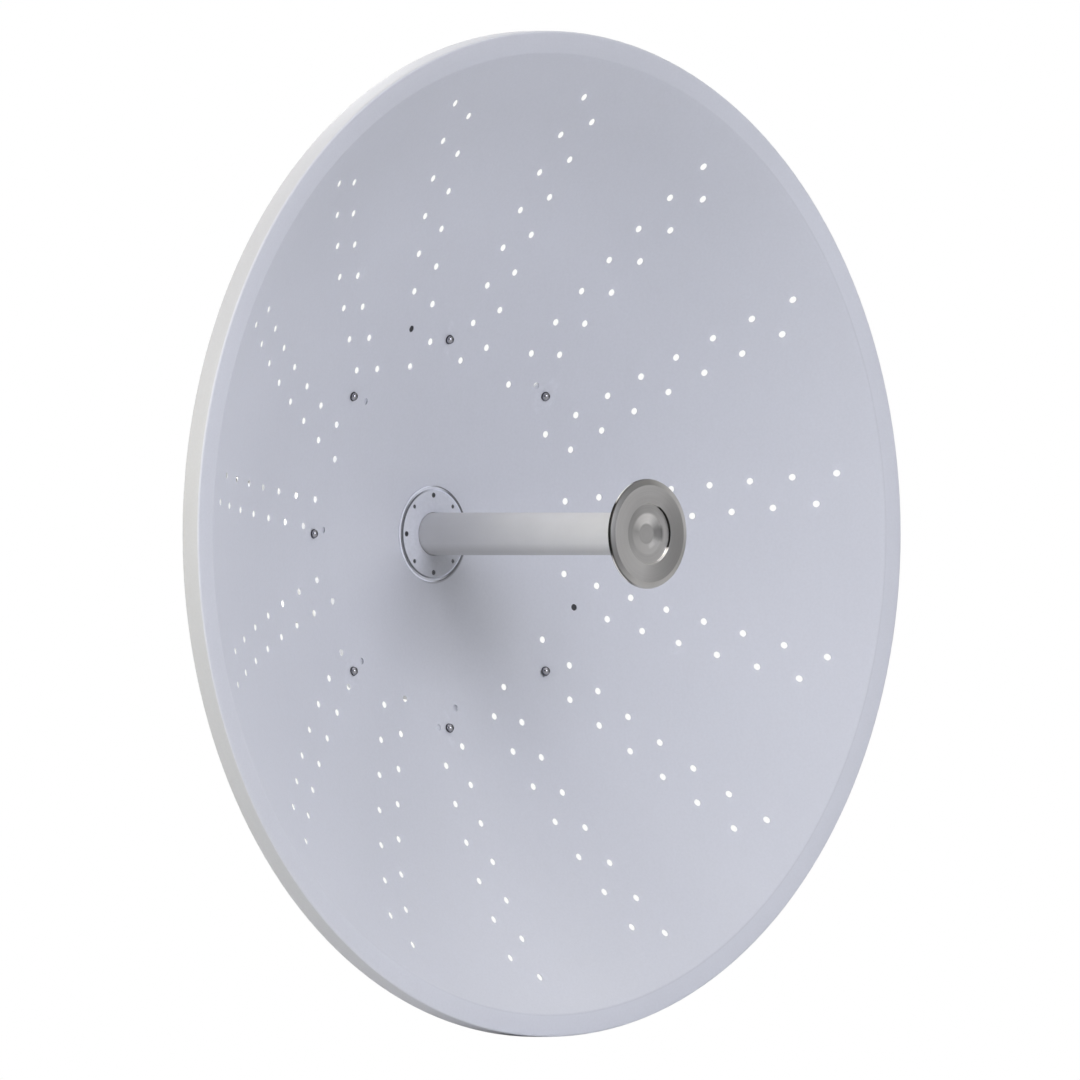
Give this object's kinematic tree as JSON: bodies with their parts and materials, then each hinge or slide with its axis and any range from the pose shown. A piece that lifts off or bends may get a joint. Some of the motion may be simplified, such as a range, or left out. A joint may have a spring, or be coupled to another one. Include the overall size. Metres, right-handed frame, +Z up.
{
  "type": "wireless bridge dish antenna",
  "caption": "Round perforated dish antenna for a point-to-point radio link: bowl with skirt, rear-fed tube with small disc reflector, and a tilting mast bracket behind.",
  "frame": {"origin": "middle of the mast bracket's flat rear face, where the mast stands", "axes": "+Z up, +Y from the dish back towards the mast, so the dish looks along -Y; +X to the right as seen from the front"},
  "size_m": [0.9, 0.4993, 0.9],
  "materials": {
    "powder_coat": "satin powder coat, light blue-grey",
    "feed_plastic": "matte weatherproof plastic",
    "turned_aluminium": "turned, bare",
    "cast_housing": "cast, bead-blasted",
    "galvanised_steel": "zinc coated",
    "stainless_steel": "plain stainless",
    "nickel_plate": "nickel plated"
  },
  "bodies": {
    "root": {"reflector_centre": "powder_coat", "reflector_rim": "powder_coat", "feed_flange": "powder_coat", "feed_tube": "feed_plastic", "subreflector_collar": "feed_plastic", "subreflector": "turned_aluminium", "rear_hub": "powder_coat", "feed_housing": "cast_housing", "lower_cable_socket": "nickel_plate", "side_cable_socket": "nickel_plate", "elevation_bracket": "galvanised_steel", "mast_bracket": "galvanised_steel", "upper_clamp_jaw": "galvanised_steel", "lower_clamp_jaw": "galvanised_steel", "reflector_sector_1": "powder_coat", "reflector_sector_2": "powder_coat", "reflector_sector_3": "powder_coat", "reflector_sector_4": "powder_coat", "reflector_sector_5": "powder_coat", "reflector_sector_6": "powder_coat", "reflector_sector_7": "powder_coat", "reflector_sector_8": "powder_coat", "reflector_sector_9": "powder_coat", "reflector_sector_10": "powder_coat", "reflector_bolt_1": "stainless_steel", "reflector_bolt_2": "stainless_steel", "reflector_bolt_3": "stainless_steel", "reflector_bolt_4": "stainless_steel", "reflector_bolt_5": "stainless_steel", "reflector_bolt_6": "stainless_steel", "reflector_bolt_7": "stainless_steel", "reflector_bolt_8": "stainless_steel", "hub_bolt_1": "stainless_steel", "clamp_rod_1": "stainless_steel", "clamp_nut_1": "stainless_steel", "hub_bolt_2": "stainless_steel", "clamp_rod_2": "stainless_steel", "clamp_nut_2": "stainless_steel", "hub_bolt_3": "stainless_steel", "clamp_rod_3": "stainless_steel", "clamp_nut_3": "stainless_steel", "hub_bolt_4": "stainless_steel", "clamp_rod_4": "stainless_steel", "clamp_nut_4": "stainless_steel", "left_pivot_bolt": "stainless_steel", "left_elevation_lock_bolt": "stainless_steel", "right_pivot_bolt": "stainless_steel", "right_elevation_lock_bolt": "stainless_steel"}
  },
  "joints": []
}
